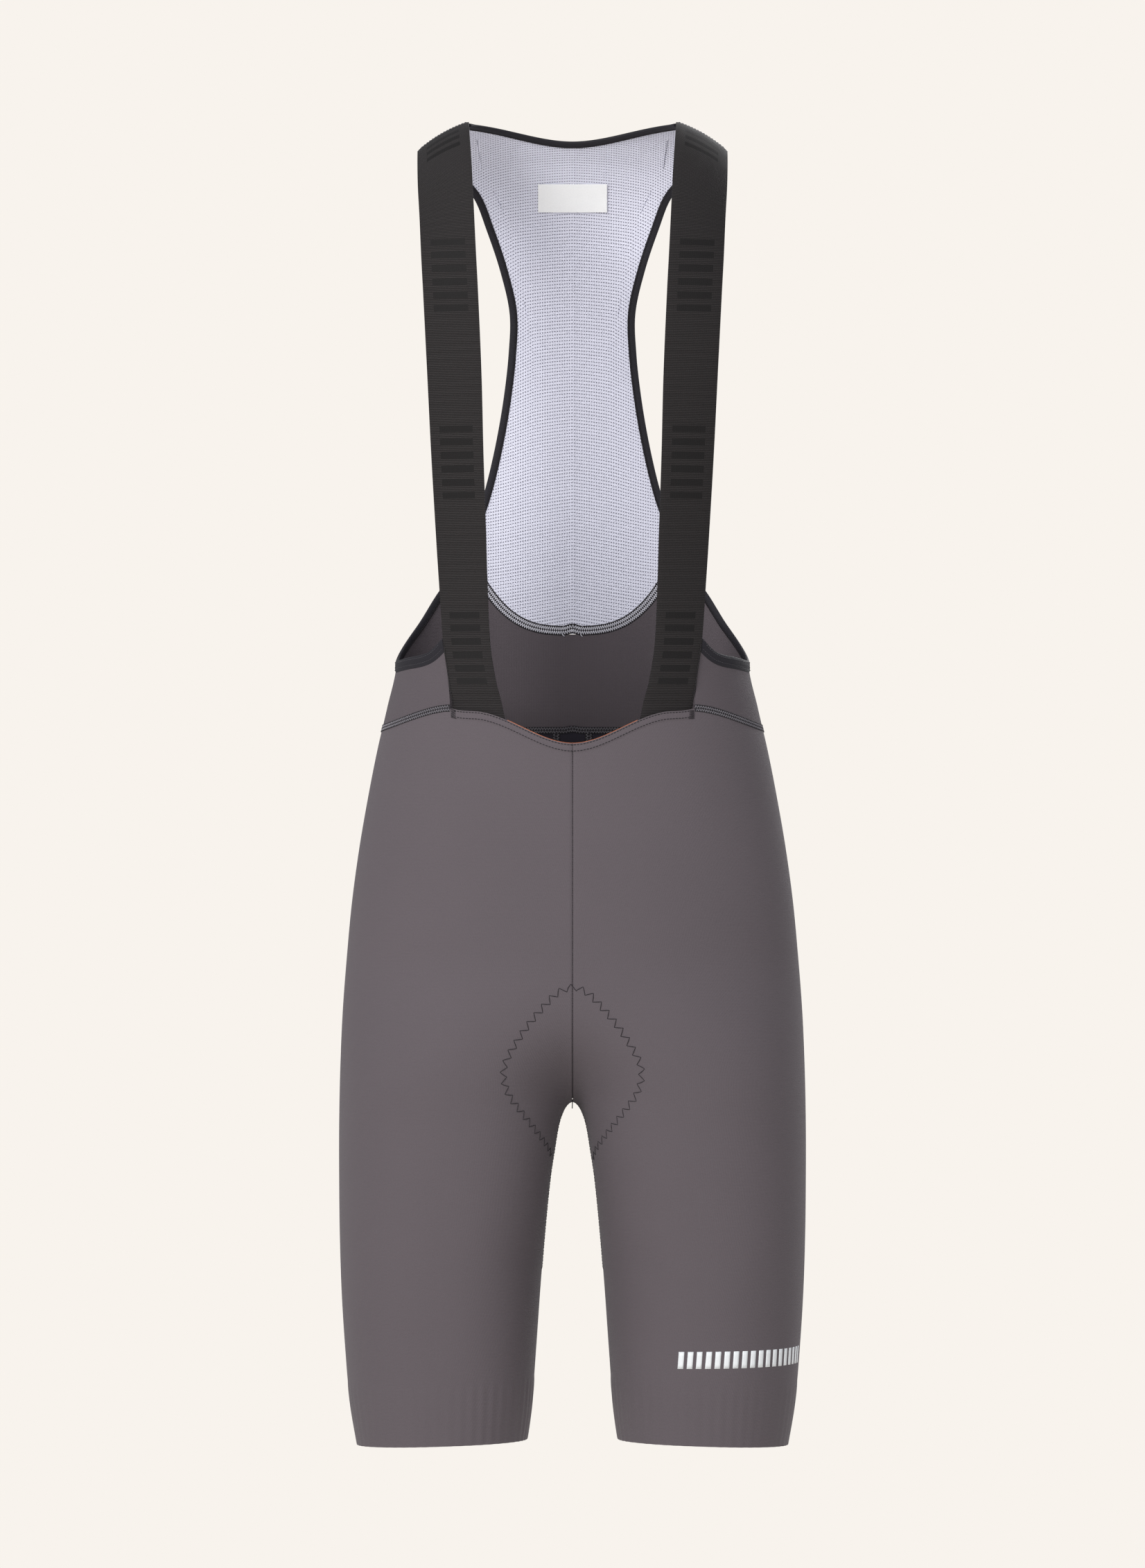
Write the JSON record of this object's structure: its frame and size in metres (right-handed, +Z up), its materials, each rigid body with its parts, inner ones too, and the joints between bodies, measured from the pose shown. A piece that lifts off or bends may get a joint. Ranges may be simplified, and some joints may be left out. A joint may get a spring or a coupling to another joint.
{
  "type": "cycling bib shorts",
  "caption": "Knee-length cycling bib shorts in worn form: knit legs, webbing straps over the shoulders, mesh back and a seat pad.",
  "frame": {"origin": "midway between the wearer's shoulders, at the height where the straps cross them", "axes": "+Z up, -Y is the front of the garment, +X is the wearer's left"},
  "size_m": [0.3366, 0.2255, 0.9541],
  "materials": {
    "main_knit": "matte warp-knit stretch fabric, warm grey",
    "dark_knit": "matte stretch knit, near black",
    "yoke_knit": "matte stretch knit, warm grey",
    "mesh": "fine open knit mesh, pale lavender grey",
    "webbing": "ribbed elastic webbing, brown black",
    "binding": "folded elastic binding, blue black",
    "facing_tape": "thin woven tape, copper",
    "label": "blank satin label, white",
    "pad": "brushed foam-backed knit, dark grey"
  },
  "bodies": {
    "root": {"leg_left": "main_knit", "leg_right": "main_knit", "seat_strip": "dark_knit", "back_yoke": "yoke_knit", "mesh_back": "mesh", "strap_left": "webbing", "strap_right": "webbing", "armhole_binding_left": "binding", "armhole_binding_right": "binding", "scoop_band_left": "binding", "scoop_band_right": "binding", "neck_binding": "binding", "front_facing": "facing_tape", "back_label": "label", "seat_pad": "pad"}
  },
  "joints": []
}
